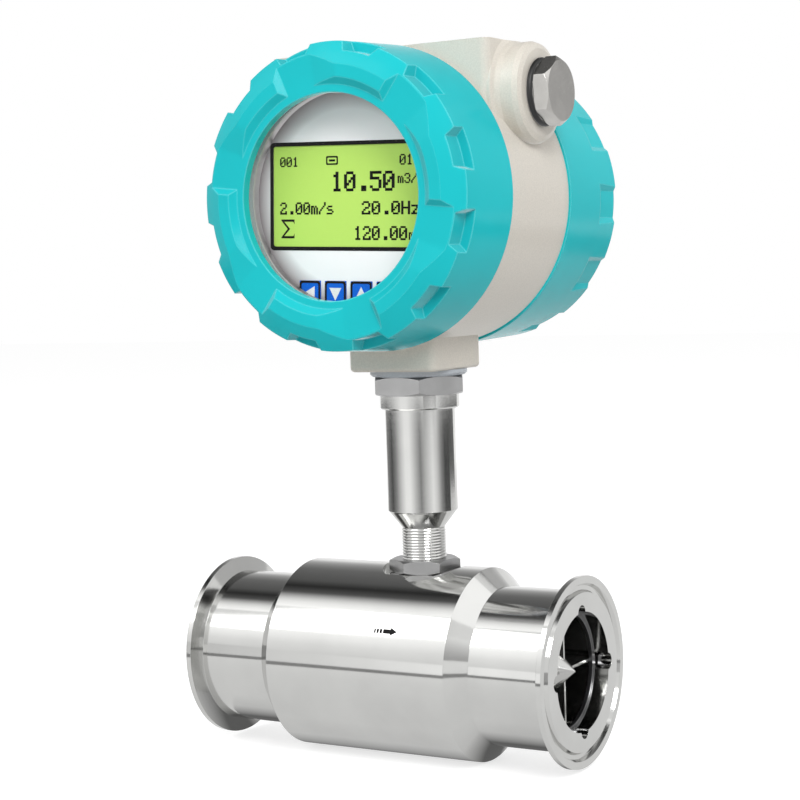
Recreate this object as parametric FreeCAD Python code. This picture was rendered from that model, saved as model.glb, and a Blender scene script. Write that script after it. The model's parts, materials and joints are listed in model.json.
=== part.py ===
"""Turbine flow meter: sanitary clamp body, helical rotor, pickup stem and display head.

Millimetres. The origin is the centre of the inlet ferrule's sealing face: +X is the
flow direction along the pipe, -Y is the display side and +Z is up the stem.
"""
import FreeCAD, Part
import math
import os

from FreeCAD import Matrix, Placement, Rotation, Vector

# ---- fits and gaps shared by all pieces -------------------------------------------------
running_gap = 0.05         # radial, shaft in bush
thread_gap = 0.08          # radial, between the plain cylinders that stand for a thread
slip_gap = 0.1             # radial or per side, drop-in pieces
seat_gap = 0.05            # axial, between a loose piece and its seat

# ---- pipe body --------------------------------------------------------------------------
pipe_length = 140.0        # face to face
bore_radius = 20.0
ferrule_radius = 32.0
ferrule_rim = 1.8
ferrule_bevel_angle = 20.0
neck_radius = 27.0
body_radius = 33.0
body_length = 70.0
shoulder_angle = 45.0
gasket_groove_radius = 28.0
gasket_groove_width = 3.0
gasket_groove_depth = 1.4
keyway_radius = 2.8
keyway_depth = 2.4         # beyond the bore
keyway_length = 20.0
ring_face_depth = 5.6      # ferrule face to the retaining ring
ring_thickness = 1.3
ring_lip = 1.0             # how far the ring stands into the bore
ring_groove_depth = 1.2
ring_opening = 9.0         # width of the ring's split

# ---- flow straighteners and rotor -------------------------------------------------------
stem_from_inlet = 80.5
hub_radius = 6.0
nose_length = 6.5
nose_lead = 4.1            # how far the nose stands ahead of the vanes
vane_thickness = 1.0
vane_count = 4
vane_wall_gap = 0.1
vane_key_length = 11.0
vane_key_height = 2.0      # beyond the bore, in the keyway
rotor_length = 16.0
rotor_end_gap = 4.0        # rotor to each straightener
rotor_tip_gap = 0.6
blade_count = 6
blade_thickness = 1.5
blade_helix_angle = 38.0   # at the tip, from the axis
blade_sections = 5
blade_root_sink = 1.0
shaft_radius = 1.5
bush_radius = 3.0
bush_length = 8.0
bush_proud = 0.8

# ---- pickup stem ------------------------------------------------------------------------
spot_face_depth = 2.0      # below the body's crown
spot_face_radius = 14.5
pickup_wall = 1.6          # metal left between the coil pocket and the bore
pocket_radius = 5.8
stem_thread_radius = 7.35
stem_thread_depth = 6.5    # below the spot face
stem_bore_radius = 5.4
lock_nut_flats = 21.4
lock_nut_height = 4.6
lock_nut_turn = 24.0
thread_show = 10.8         # thread left bare above the lock nut
cone_height = 5.6
tube_radius = 12.1
tube_length = 35.5
tube_edge = 0.4
collar_radius = 13.7
collar_height = 4.9
collar_edge = 0.5
neck_thread_radius = 10.0
head_nut_flats = 29.8
head_nut_height = 6.4
head_nut_turn = 0.0
nut_corner_angle = 25.0
washer_radius = 16.7
washer_thickness = 2.0
washer_edge = 0.8
coil_height = 16.0
coil_flange = 1.0
coil_core_radius = 3.4
magnet_radius = 2.4
magnet_length = 20.0
lead_radius = 2.0
lead_above_stem = 0.1
lead_plug_radius = 4.0
lead_plug_length = 8.0

# ---- display head -----------------------------------------------------------------------
neck_length = 57.9         # head axis to the neck's end
head_forward = 2.05        # head's middle plane ahead of the stem axis
barrel_radius = 49.7
barrel_half = 21.25
cavity_radius = 42.0
spigot_radius = 46.0
spigot_length = 10.0
neck_half = 16.8
neck_corner = 2.5
neck_foot_corner = 1.5
stem_top_gap = 2.0         # stem's end to the cavity, inside the neck
shoulder_half_width = 42.0
shoulder_height = 49.6     # top of the shoulder block above the head axis
shoulder_half_depth = 19.5
shoulder_corner = 3.0
shoulder_wall = 5.0
partition_near = 10.5      # partition's rear face, ahead of the middle plane
partition_thickness = 3.0
wire_hole_radius = 5.0
wire_hole_drop = 33.0
entry_height = 32.5
entry_radius = 10.0
boss_radius = 16.65
boss_end = 51.0
boss_edge = 2.5
boss_flare = 2.4           # where the boss grows out of the shoulder

# ---- conduit plugs ----------------------------------------------------------------------
plug_seal_radius = 11.2
plug_seal_thickness = 1.8
plug_flats = 19.6
plug_head_length = 5.6
plug_dome = 1.3
plug_turn = 5.5
plug_shank_length = 12.0

# ---- screwed covers ---------------------------------------------------------------------
cover_skirt_radius = 50.6
cover_lug_radius = 49.3
front_cover_length = 29.9  # skirt edge to face
rear_cover_length = 41.2
rear_cover_wall = 7.1
cover_edge_radius = 45.8   # front face to outer chamfer
cover_edge_drop = 1.9
cover_cavity_radius = 43.5
grip_count = 6
grip_gap_angle = 16.5
notch_end_run = 2.0        # slope at each end of a notch
front_grip_phase = 45.0    # first notch centre, clockwise from the top
front_notch_radius = 46.2
front_notch_reach = 7.1
rear_grip_phase = 26.6
rear_notch_radius = 48.2
rear_notch_reach = 15.7
ridge_radius = 39.4
ridge_height = 3.0
grip_inner_radius = 35.6
ramp_angle = 24.0
steep_angle = 4.6
seal_width = 1.4
seal_thickness = 1.8

# ---- window -----------------------------------------------------------------------------
window_radius = 33.1
window_depth = 3.3         # front face to glass
glass_radius = 36.5
glass_thickness = 4.5
gasket_thickness = 0.8
retainer_thickness = 2.4
retainer_opening = 34.5

# ---- display stack ----------------------------------------------------------------------
dial_radius = 41.0
dial_thickness = 1.5
dial_gap = 1.3             # window retainer to dial
lcd_width = 59.0
lcd_height = 33.0
lcd_rise = 0.6
lcd_recess = 0.3
key_count = 4
key_size = 8.1
key_pitch = 9.9
key_drop = 31.0            # key row centre below the head axis
key_proud = 0.3
key_flange = 0.6
key_flange_thickness = 0.7
key_travel = 0.5
switch_size = 6.0
board_thickness = 1.6
display_board_radius = 40.0
display_board_behind = 4.85    # dial front to board front
main_board_width = 58.0
main_board_height = 50.0
main_board_margin = 4.0
chip_size = 12.0
chip_thickness = 1.8
header_width = 24.0
header_height = 6.0
header_depth = 8.0
converter_width = 14.0
converter_height = 10.0
converter_depth = 7.0
board_standoff_length = 3.0
standoff_radius = 2.5
standoff_x = 25.0
standoff_z = 20.0
spacer_x = 24.0
spacer_z = 25.0

# ---- rear compartment -------------------------------------------------------------------
terminal_width = 48.0
terminal_height = 12.0
terminal_depth = 13.0
terminal_drop = 10.0
terminal_count = 6
terminal_screw_radius = 2.4
terminal_screw_height = 1.2
terminal_slot = 0.7
battery_radius = 7.2
battery_length = 50.0
battery_rise = 12.0
holder_wall = 1.6
holder_floor = 2.0
ground_screw_radius = 3.5
ground_screw_height = 2.6
ground_washer_size = 7.0
ground_washer_thickness = 1.0
ground_screw_x = 18.0
ground_screw_drop = 30.0

# ---- values that follow from the ones above ---------------------------------------------
ferrule_bevel = (ferrule_radius - neck_radius) * math.tan(math.radians(ferrule_bevel_angle))
shoulder_run = (body_radius - neck_radius) / math.tan(math.radians(shoulder_angle))
body_start = (pipe_length - body_length) / 2
vane_face_depth = ring_face_depth + ring_thickness + 2 * seat_gap
rotor_start = stem_from_inlet - rotor_length / 2
rotor_end = stem_from_inlet + rotor_length / 2
inlet_guide_end = rotor_start - rotor_end_gap
outlet_guide_start = rotor_end + rotor_end_gap
rotor_radius = bore_radius - rotor_tip_gap
pocket_floor = bore_radius + pickup_wall
spot_face_height = body_radius - spot_face_depth
stem_foot = spot_face_height - stem_thread_depth
thread_top = spot_face_height + lock_nut_height + thread_show
tube_bottom = thread_top + cone_height
tube_top = tube_bottom + tube_length
collar_top = tube_top + collar_height
head_nut_top = collar_top + head_nut_height
neck_bottom = head_nut_top + washer_thickness
head_height = neck_bottom + neck_length
neck_bore_radius = neck_thread_radius + thread_gap
stem_top = head_height - cavity_radius - stem_top_gap
spigot_end = barrel_half + spigot_length
cover_bore_radius = spigot_radius + thread_gap
front_face = barrel_half + front_cover_length
rear_face = barrel_half + rear_cover_length
cover_shoulder = spigot_end + seat_gap + seal_thickness + seat_gap
glass_front = front_face - window_depth
glass_back = glass_front - glass_thickness
gasket_back = glass_back - gasket_thickness
retainer_back = gasket_back - retainer_thickness
dial_front = retainer_back - dial_gap
dial_back = dial_front - dial_thickness
display_board_front = dial_front - display_board_behind
display_board_back = display_board_front - board_thickness
partition_far = partition_near + partition_thickness
main_board_back = partition_far + board_standoff_length
main_board_front = main_board_back + board_thickness
grip_span = 360.0 / grip_count - grip_gap_angle


# ---- shape helpers ----------------------------------------------------------------------
def polygon_face(points):
    """Face of the closed polygon through 3-D points."""
    corners = [Vector(*point) for point in points]
    return Part.Face(Part.makePolygon(corners + corners[:1]))


def turned(profile, axis, angle=360.0):
    """Solid of revolution about X or Z from (along, radius) pairs."""
    if axis == "x":
        face = polygon_face([(along, 0, radius) for along, radius in profile])
        return face.revolve(Vector(0, 0, 0), Vector(1, 0, 0), angle)
    face = polygon_face([(radius, 0, along) for along, radius in profile])
    return face.revolve(Vector(0, 0, 0), Vector(0, 0, 1), angle)


def rod(start, end, radius, axis="z", x=0.0, y=0.0, z=0.0):
    """Cylinder from start to end along one axis, through the given point."""
    direction = {"x": Vector(1, 0, 0), "y": Vector(0, 1, 0), "z": Vector(0, 0, 1)}[axis]
    foot = {"x": Vector(start, y, z), "y": Vector(x, start, z), "z": Vector(x, y, start)}[axis]
    return Part.makeCylinder(radius, end - start, foot, direction)


def box(x_range, y_range, z_range):
    """Block between a low and a high value on each axis."""
    low = Vector(x_range[0], y_range[0], z_range[0])
    high = Vector(x_range[1], y_range[1], z_range[1])
    size = high - low
    return Part.makeBox(size.x, size.y, size.z, low)


def centred_box(width, depth, height, centre):
    """Block of the given X, Y and Z sizes round its centre."""
    corner = Vector(*centre) - Vector(width, depth, height) / 2
    return Part.makeBox(width, depth, height, corner)


def moved(shape, offset, rotation=None):
    """Copy turned about the origin, then shifted."""
    result = shape.copy()
    result.Placement = Placement(Vector(*offset), rotation or Rotation()).multiply(shape.Placement)
    return result


def mirrored_along_pipe(shape):
    """Copy reflected in the pipe's middle plane, for the outlet end."""
    matrix = Matrix()
    matrix.A11 = -1
    matrix.A14 = pipe_length
    return shape.transformGeometry(matrix)


def fused(shapes):
    first, rest = shapes[0], shapes[1:]
    return first.fuse(rest).removeSplitter() if rest else first


def hex_nut(flats, height, bore, turn, domed=0.0):
    """Hexagon on Z from 0 to height, its corners cut by a cone at each end."""
    corner = flats / math.sqrt(3)
    points = []
    for step in range(6):
        angle = math.radians(60 * step + turn)
        points.append((corner * math.cos(angle), corner * math.sin(angle), 0))
    prism = polygon_face(points).extrude(Vector(0, 0, height))
    cut = (corner - flats / 2) * math.tan(math.radians(nut_corner_angle))
    crown = max(cut, domed)
    outline = [
        (0, 0), (0, flats / 2), (cut, corner),
        (height - crown, corner), (height, flats / 2), (height, 0),
    ]
    nut = prism.common(turned(outline, "z"))
    return nut.cut(rod(-1, height + 1, bore)) if bore else nut


def at_stem(shape):
    """From the stem's own frame (its axis on Z) to the part's frame."""
    return moved(shape, (stem_from_inlet, 0, 0))


def at_head(shape):
    """From the head's own frame (Y along the covers' axis) to the part's frame."""
    return moved(shape, (stem_from_inlet, -head_forward, head_height))


def facing_front(shape):
    """Cover frame (Z outward, Y up) turned to face -Y, in the part's frame."""
    return at_head(moved(shape, (0, 0, 0), Rotation(Vector(1, 0, 0), 90)))


def half_turned(shape):
    """Copy turned half round the Z axis."""
    return moved(shape, (0, 0, 0), Rotation(Vector(0, 0, 1), 180))


def facing_rear(shape):
    """Cover frame turned to face +Y, in the part's frame."""
    return at_head(half_turned(moved(shape, (0, 0, 0), Rotation(Vector(1, 0, 0), 90))))


# ---- pipe body --------------------------------------------------------------------------
def body_profile():
    """Half of the turned body, from the inlet face to the middle of the pipe."""
    groove_out = gasket_groove_radius + gasket_groove_width / 2
    groove_in = gasket_groove_radius - gasket_groove_width / 2
    flank = gasket_groove_width / 4
    return [
        (0, 0), (0, groove_in), (gasket_groove_depth, groove_in + flank),
        (gasket_groove_depth, groove_out - flank), (0, groove_out),
        (0, ferrule_radius), (ferrule_rim, ferrule_radius),
        (ferrule_rim + ferrule_bevel, neck_radius),
        (body_start - shoulder_run, neck_radius), (body_start, body_radius),
    ]


def meter_body():
    inlet_half = body_profile()
    outlet_half = [(pipe_length - along, radius) for along, radius in reversed(inlet_half)]
    solid = turned(inlet_half + outlet_half, "x")
    cuts = [rod(-1, pipe_length + 1, bore_radius, "x")]
    for step in range(vane_count):
        angle = math.radians(360.0 / vane_count * step)
        seat = bore_radius + keyway_depth - keyway_radius
        y, z = seat * math.sin(angle), seat * math.cos(angle)
        cuts.append(rod(-1, keyway_length, keyway_radius, "x", y=y, z=z))
        cuts.append(rod(pipe_length - keyway_length, pipe_length + 1, keyway_radius, "x", y=y, z=z))
    groove_width = ring_thickness + 2 * seat_gap
    for start in (ring_face_depth, pipe_length - ring_face_depth - groove_width):
        cuts.append(rod(start, start + groove_width, bore_radius + ring_groove_depth, "x"))
    above = body_radius + 1
    cuts.append(rod(spot_face_height, above, spot_face_radius, x=stem_from_inlet))
    cuts.append(rod(stem_foot, above, stem_thread_radius + thread_gap, x=stem_from_inlet))
    cuts.append(rod(pocket_floor, above, pocket_radius, x=stem_from_inlet))
    return solid.cut(cuts)


def retaining_ring():
    """Split ring in its groove at the inlet end, the split straight up."""
    start = ring_face_depth + seat_gap
    end = start + ring_thickness
    outer = bore_radius + ring_groove_depth - seat_gap
    inner = bore_radius - ring_lip
    ring = rod(start, end, outer, "x").cut(rod(start - 1, end + 1, inner, "x"))
    split = box((start - 1, end + 1), (-ring_opening / 2, ring_opening / 2), (0, outer + 1))
    return ring.cut(split)


# ---- flow straighteners -----------------------------------------------------------------
def straightener(end):
    """Hub with nose and four keyed vanes, from the inlet side up to x = end."""
    nose_start = vane_face_depth - nose_lead
    hub = turned([(nose_start, 0), (nose_start + nose_length, hub_radius), (end, hub_radius), (end, 0)], "x")
    height = bore_radius - vane_wall_gap
    pieces = [hub]
    for step in range(vane_count):
        turn = Rotation(Vector(1, 0, 0), 360.0 / vane_count * step)
        half = vane_thickness / 2
        vane = box((vane_face_depth, end), (-half, half), (0, height))
        key_end = vane_face_depth + vane_key_length
        key = box((vane_face_depth, key_end), (-half, half), (0, bore_radius + vane_key_height))
        pieces.append(moved(vane.fuse(key), (0, 0, 0), turn))
    rim_trim = rod(0, pipe_length, height, "x")
    key_room = rod(0, vane_face_depth + vane_key_length, bore_radius + vane_key_height, "x")
    body = fused(pieces).common(rim_trim.fuse(key_room))
    return body.cut(rod(end - bush_length + bush_proud, end + 1, bush_radius, "x"))


def bearing_bush(end):
    """Flanged bush in the straightener whose inner face is at x = end."""
    start = end - bush_length + bush_proud
    bush = rod(start, end, bush_radius, "x")
    head = rod(end, end + bush_proud, hub_radius - 1.0, "x")
    bore = rod(start + bush_proud, end + bush_proud + 1, shaft_radius + running_gap, "x")
    return fused([bush, head]).cut(bore)


# ---- rotor ------------------------------------------------------------------------------
def blade_section(along, angle):
    """Closed section of a blade across the axis, turned by angle (degrees)."""
    chord_half = blade_thickness / 2 / math.cos(math.radians(blade_helix_angle))
    root = hub_radius - blade_root_sink
    tip = rotor_radius + blade_root_sink
    corners = [
        Vector(along, -chord_half, root), Vector(along, chord_half, root),
        Vector(along, chord_half, tip), Vector(along, -chord_half, tip),
    ]
    wire = Part.makePolygon(corners + corners[:1])
    wire.rotate(Vector(0, 0, 0), Vector(1, 0, 0), angle)
    return wire


def rotor():
    """Hub with helical blades, turned to the tip radius, on the stem's axis."""
    twist = math.degrees(rotor_length * math.tan(math.radians(blade_helix_angle)) / rotor_radius)
    sections = []
    for step in range(blade_sections):
        share = step / (blade_sections - 1)
        sections.append(blade_section(rotor_start + share * rotor_length, twist * (share - 0.5)))
    blade = Part.makeLoft(sections, True)
    blades = []
    for step in range(blade_count):
        blades.append(moved(blade, (0, 0, 0), Rotation(Vector(1, 0, 0), 360.0 / blade_count * (step + 0.5))))
    hub = rod(rotor_start, rotor_end, hub_radius, "x")
    wheel = fused([hub] + blades).common(rod(rotor_start, rotor_end, rotor_radius, "x"))
    return wheel.cut(rod(rotor_start - 1, rotor_end + 1, shaft_radius, "x"))


def rotor_shaft():
    """Shaft through the rotor, with a shoulder against each bush's flange."""
    inlet_stop = inlet_guide_end + bush_proud + seat_gap
    outlet_stop = outlet_guide_start - bush_proud - seat_gap
    inlet_tip = inlet_guide_end - bush_length + 2 * bush_proud + seat_gap
    outlet_tip = outlet_guide_start + bush_length - 2 * bush_proud - seat_gap
    shaft = rod(inlet_tip, outlet_tip, shaft_radius, "x")
    front = rod(inlet_stop, rotor_start, 2 * shaft_radius, "x")
    back = rod(rotor_end, outlet_stop, 2 * shaft_radius, "x")
    return fused([shaft, front, back])


# ---- pickup stem ------------------------------------------------------------------------
def pickup_stem():
    profile = [
        (stem_foot, stem_bore_radius), (stem_foot, stem_thread_radius), (thread_top, stem_thread_radius),
        (tube_bottom, tube_radius - tube_edge), (tube_bottom + tube_edge, tube_radius),
        (tube_top, tube_radius), (tube_top, collar_radius - collar_edge),
        (tube_top + collar_edge, collar_radius), (collar_top, collar_radius),
        (collar_top, neck_thread_radius), (stem_top, neck_thread_radius), (stem_top, stem_bore_radius),
    ]
    return at_stem(turned(profile, "z"))


def stem_lock_nut():
    nut = hex_nut(lock_nut_flats, lock_nut_height, stem_thread_radius, lock_nut_turn)
    return at_stem(moved(nut, (0, 0, spot_face_height)))


def head_lock_nut():
    nut = hex_nut(head_nut_flats, head_nut_height, neck_thread_radius, head_nut_turn)
    return at_stem(moved(nut, (0, 0, collar_top)))


def neck_washer():
    profile = [
        (head_nut_top, neck_thread_radius), (head_nut_top, washer_radius - washer_edge),
        (head_nut_top + washer_edge, washer_radius), (neck_bottom, washer_radius),
        (neck_bottom, neck_thread_radius),
    ]
    return at_stem(turned(profile, "z"))


def coil_bobbin():
    flange_radius = stem_bore_radius - slip_gap
    top = pocket_floor + coil_height
    profile = [
        (pocket_floor, magnet_radius), (pocket_floor, flange_radius),
        (pocket_floor + coil_flange, flange_radius), (pocket_floor + coil_flange, coil_core_radius),
        (top - coil_flange, coil_core_radius), (top - coil_flange, flange_radius),
        (top, flange_radius), (top, magnet_radius),
    ]
    return at_stem(turned(profile, "z"))


def coil_winding():
    start = pocket_floor + coil_flange
    end = pocket_floor + coil_height - coil_flange
    tube = rod(start, end, stem_bore_radius - 3 * slip_gap).cut(rod(start - 1, end + 1, coil_core_radius))
    return at_stem(tube)


def pickup_magnet():
    return at_stem(rod(pocket_floor, pocket_floor + magnet_length, magnet_radius))


def pickup_lead():
    return at_stem(rod(pocket_floor + magnet_length, stem_top + lead_above_stem, lead_radius))


def lead_plug():
    start = stem_top + lead_above_stem
    return at_stem(rod(start, start + lead_plug_length, lead_plug_radius))


# ---- housing ----------------------------------------------------------------------------
def rounded_block(x_half, y_half, z_range, corner):
    """Block on the head's axis whose upright edges are rounded."""
    block = box((-x_half, x_half), (-y_half, y_half), z_range)
    upright = [edge for edge in block.Edges if edge.BoundBox.ZLength > 0.5 * (z_range[1] - z_range[0])]
    return block.makeFillet(corner, upright)


def housing_neck():
    """Square neck below the barrel, rounded at its foot."""
    foot = neck_bottom - head_height
    neck = rounded_block(neck_half, neck_half, (foot, 0), neck_corner)
    lowest = [edge for edge in neck.Edges if edge.BoundBox.ZMax < foot + neck_foot_corner / 2]
    return neck.makeFillet(neck_foot_corner, lowest)


def conduit_boss(side):
    """Round boss from the shoulder to its end face, on the side +1 or -1."""
    inner = shoulder_half_width - shoulder_wall
    flare_end = shoulder_half_width + boss_flare
    eased = 0.3 * boss_edge
    waist = 0.3 * boss_flare
    profile = [
        (inner, 0), (inner, boss_radius + boss_flare), (shoulder_half_width, boss_radius + boss_flare),
        (shoulder_half_width + waist, boss_radius + waist), (flare_end, boss_radius),
        (boss_end - boss_edge, boss_radius), (boss_end - eased, boss_radius - eased),
        (boss_end, boss_radius - boss_edge), (boss_end, 0),
    ]
    boss = moved(turned(profile, "x"), (0, 0, entry_height))
    below_top = box((0, boss_end), (-shoulder_half_depth, shoulder_half_depth), (0, shoulder_height))
    boss = boss.common(below_top)
    return boss if side > 0 else half_turned(boss)


def housing():
    shoulder = rounded_block(shoulder_half_width, shoulder_half_depth, (0, shoulder_height), shoulder_corner)
    outer = fused([
        rod(-barrel_half, barrel_half, barrel_radius, "y"),
        rod(-spigot_end, spigot_end, spigot_radius, "y"),
        shoulder, housing_neck(), conduit_boss(1), conduit_boss(-1),
    ])
    pocket_x = shoulder_half_width - shoulder_wall
    pocket_y = shoulder_half_depth - shoulder_wall
    cuts = [
        rod(-spigot_end - 1, -partition_far, cavity_radius, "y"),
        rod(-partition_near, spigot_end + 1, cavity_radius, "y"),
        box((-pocket_x, pocket_x), (-partition_near, pocket_y), (0, shoulder_height - shoulder_wall)),
        rod(-boss_end - 1, -pocket_x, entry_radius, "x", z=entry_height),
        rod(pocket_x, boss_end + 1, entry_radius, "x", z=entry_height),
        rod(neck_bottom - head_height - 1, -cavity_radius + 1, neck_bore_radius, y=head_forward),
        rod(-partition_far - 1, -partition_near + 1, wire_hole_radius, "y", z=-wire_hole_drop),
    ]
    return at_head(outer.cut(cuts))


# ---- conduit plugs ----------------------------------------------------------------------
def plug_parts():
    """Blanking plug and its seal in the right entry, in the head's frame."""
    seal_end = boss_end + plug_seal_thickness
    seal = rod(boss_end, seal_end, plug_seal_radius, "x", z=entry_height)
    shank_radius = entry_radius - thread_gap
    seal = seal.cut(rod(boss_end - 1, seal_end + 1, shank_radius + seat_gap, "x", z=entry_height))
    hexagon = hex_nut(plug_flats, plug_head_length, 0, plug_turn, plug_dome)
    head = moved(hexagon, (seal_end, 0, entry_height), Rotation(Vector(0, 1, 0), 90))
    shank = rod(boss_end - plug_shank_length, seal_end, shank_radius, "x", z=entry_height)
    return fused([head, shank]), seal


# ---- screwed covers ---------------------------------------------------------------------
def grip_block(face):
    """One raised grip: a ridge round part of the face, ramped at one end and steep at the other."""
    base = face - cover_edge_drop
    profile = [
        (base, grip_inner_radius), (face, grip_inner_radius), (face + ridge_height, ridge_radius),
        (face, cover_edge_radius), (base, cover_edge_radius),
    ]
    ring = turned(profile, "z", grip_span)
    ramp_slope = math.degrees(math.atan(ridge_height / (ridge_radius * math.sin(math.radians(ramp_angle)))))
    steep_slope = math.degrees(math.atan(ridge_height / (ridge_radius * math.sin(math.radians(steep_angle)))))
    reach = 2 * cover_skirt_radius
    wedge = box((0, reach), (-1, reach), (0, reach))
    ramp_cut = wedge.mirror(Vector(0, 0, 0), Vector(0, 1, 0))
    steep_turn = Rotation(Vector(1, 0, 0), steep_slope)
    ramp_turn = Rotation(Vector(0, 0, 1), grip_span).multiply(Rotation(Vector(1, 0, 0), -ramp_slope))
    ramp = moved(ramp_cut, (0, 0, face), ramp_turn)
    steep = moved(wedge, (0, 0, face), steep_turn)
    return ring.cut([ramp, steep])


def cover_notch(face, floor_radius, reach):
    """Tool for one notch in the outer corner, centred on the X axis, with sloping ends."""
    half = cover_lug_radius * math.sin(math.radians(grip_gap_angle / 2))
    slope = notch_end_run / (cover_lug_radius - floor_radius)
    inside = floor_radius - 1.0
    outside = cover_skirt_radius + 1.0
    inner_half = half - slope * (cover_lug_radius - inside)
    outer_half = half + slope * (outside - cover_lug_radius)
    rear = face - reach
    corners = [(inside, -inner_half), (outside, -outer_half), (outside, outer_half), (inside, inner_half)]
    section = polygon_face([(radius, offset, rear) for radius, offset in corners])
    prism = section.extrude(Vector(0, 0, reach + ridge_height + 1))
    return prism.cut(rod(rear - 1, face + ridge_height + 2, floor_radius))


def cover_blank(face, phase, notch):
    """Solid cover with its grips and notches, in the cover's frame."""
    profile = [
        (barrel_half, 0), (barrel_half, cover_skirt_radius), (face - cover_edge_drop, cover_lug_radius),
        (face, cover_edge_radius), (face, 0),
    ]
    first_notch = 90.0 - phase
    blocks = []
    notches = []
    for step in range(grip_count):
        turn = first_notch + 360.0 / grip_count * step
        blocks.append(moved(grip_block(face), (0, 0, 0), Rotation(Vector(0, 0, 1), turn + grip_gap_angle / 2)))
    for step in range(2 * grip_count):
        turn = first_notch + 180.0 / grip_count * step
        notches.append(moved(notch, (0, 0, 0), Rotation(Vector(0, 0, 1), turn)))
    return fused([turned(profile, "z")] + blocks).cut(notches)


def cover_thread_bore():
    return rod(barrel_half - 1, cover_shoulder, cover_bore_radius)


def front_cover():
    notch = cover_notch(front_face, front_notch_radius, front_notch_reach)
    blank = cover_blank(front_face, front_grip_phase, notch)
    return facing_front(blank.cut([
        cover_thread_bore(),
        rod(barrel_half, retainer_back, cover_cavity_radius),
        rod(barrel_half, glass_front, glass_radius + slip_gap),
        rod(barrel_half, front_face + 1, window_radius),
    ]))


def rear_cover():
    notch = cover_notch(rear_face, rear_notch_radius, rear_notch_reach)
    blank = cover_blank(rear_face, rear_grip_phase, notch)
    return facing_rear(blank.cut([
        cover_thread_bore(),
        rod(barrel_half, rear_face - rear_cover_wall, cover_cavity_radius),
    ]))


def cover_seal():
    start = spigot_end + seat_gap
    end = start + seal_thickness
    outer = cover_bore_radius - slip_gap
    return rod(start, end, outer).cut(rod(start - 1, end + 1, outer - seal_width))


# ---- window -----------------------------------------------------------------------------
def window_glass():
    return facing_front(rod(glass_back, glass_front, glass_radius))


def window_ring(start, end, outer):
    return facing_front(rod(start, end, outer).cut(rod(start - 1, end + 1, retainer_opening)))


# ---- display stack ----------------------------------------------------------------------
def key_positions():
    """Key centres along X, left to right."""
    return [key_pitch * (step - (key_count - 1) / 2) for step in range(key_count)]


def dial_plate():
    plate = rod(dial_back, dial_front, dial_radius)
    depth = 3 * dial_thickness
    key_hole = key_size + 2 * slip_gap
    lcd_opening = (lcd_width + 2 * slip_gap, lcd_height + 2 * slip_gap)
    cuts = [centred_box(*lcd_opening, depth, (0, lcd_rise, dial_front))]
    for x in key_positions():
        cuts.append(centred_box(key_hole, key_hole, depth, (x, -key_drop, dial_front)))
    return facing_front(plate.cut(cuts))


def lcd_module():
    front = dial_front - lcd_recess
    depth = front - display_board_front
    return facing_front(centred_box(lcd_width, lcd_height, depth, (0, lcd_rise, front - depth / 2)))


def key_cap(x):
    """Square key through the dial, with a flange that keeps it behind the plate."""
    flange_front = dial_back - seat_gap
    flange_back = flange_front - key_flange_thickness
    front = dial_front + key_proud
    flange_size = key_size + 2 * key_flange
    flange_middle = (flange_front + flange_back) / 2
    cap = centred_box(key_size, key_size, front - flange_back, (x, -key_drop, (front + flange_back) / 2))
    flange = centred_box(flange_size, flange_size, key_flange_thickness, (x, -key_drop, flange_middle))
    return facing_front(fused([cap, flange]))


def display_board():
    """Round board behind the dial with one switch under each key."""
    pieces = [rod(display_board_back, display_board_front, display_board_radius)]
    key_back = dial_back - seat_gap - key_flange_thickness
    switch_top = key_back - key_travel - seat_gap
    switch_height = switch_top - display_board_front
    for x in key_positions():
        centre = (x, -key_drop, display_board_front + switch_height / 2)
        pieces.append(centred_box(switch_size, switch_size, switch_height, centre))
    return facing_front(fused(pieces))


def four_posts(start, end, x, z):
    """Four round posts along the head's axis, as separate solids."""
    posts = []
    for side in (-1, 1):
        for level in (-1, 1):
            posts.append(rod(start, end, standoff_radius, x=side * x, y=level * z))
    return facing_front(Part.Compound(posts))


def main_board():
    """Board on the partition's posts, with its larger components."""
    middle = (main_board_back + main_board_front) / 2
    front = main_board_front
    board = centred_box(main_board_width, main_board_height, board_thickness, (0, 0, middle))
    chip = centred_box(chip_size, chip_size, chip_thickness, (-chip_size, 0, front + chip_thickness / 2))
    header_level = main_board_margin + header_height / 2 - main_board_height / 2
    header = centred_box(header_width, header_height, header_depth, (0, header_level, front + header_depth / 2))
    converter_middle = (converter_width, 0, front + converter_depth / 2)
    converter = centred_box(converter_width, converter_height, converter_depth, converter_middle)
    return facing_front(fused([board, chip, header, converter]))


# ---- rear compartment -------------------------------------------------------------------
def terminal_positions():
    pitch = terminal_width / terminal_count
    return [pitch * (step - (terminal_count - 1) / 2) for step in range(terminal_count)]


def terminal_block():
    """Row of wire clamps on the partition, in the head's frame."""
    top = -partition_near + terminal_depth
    level = -terminal_drop - terminal_height / 2
    middle = (0, top - terminal_depth / 2, level)
    block = centred_box(terminal_width, terminal_depth, terminal_height, middle)
    well_floor = top - 2 * terminal_screw_height
    well_radius = terminal_screw_radius + slip_gap
    wells = []
    for x in terminal_positions():
        wells.append(rod(well_floor, top + 1, well_radius, "y", x=x, z=level))
    return at_head(block.cut(wells))


def terminal_screws():
    screws = []
    bottom = -partition_near + terminal_depth - 2 * terminal_screw_height
    top = bottom + terminal_screw_height
    level = -terminal_drop - terminal_height / 2
    for x in terminal_positions():
        head = rod(bottom, top, terminal_screw_radius, "y", x=x, z=level)
        slot = centred_box(3 * terminal_screw_radius, terminal_slot, terminal_slot, (x, top, level))
        screws.append(head.cut(slot))
    return at_head(Part.Compound(screws))


def battery():
    level = -partition_near + holder_floor + battery_radius + seat_gap
    half = battery_length / 2
    return at_head(rod(-half, half, battery_radius, "x", y=level, z=battery_rise))


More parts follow.
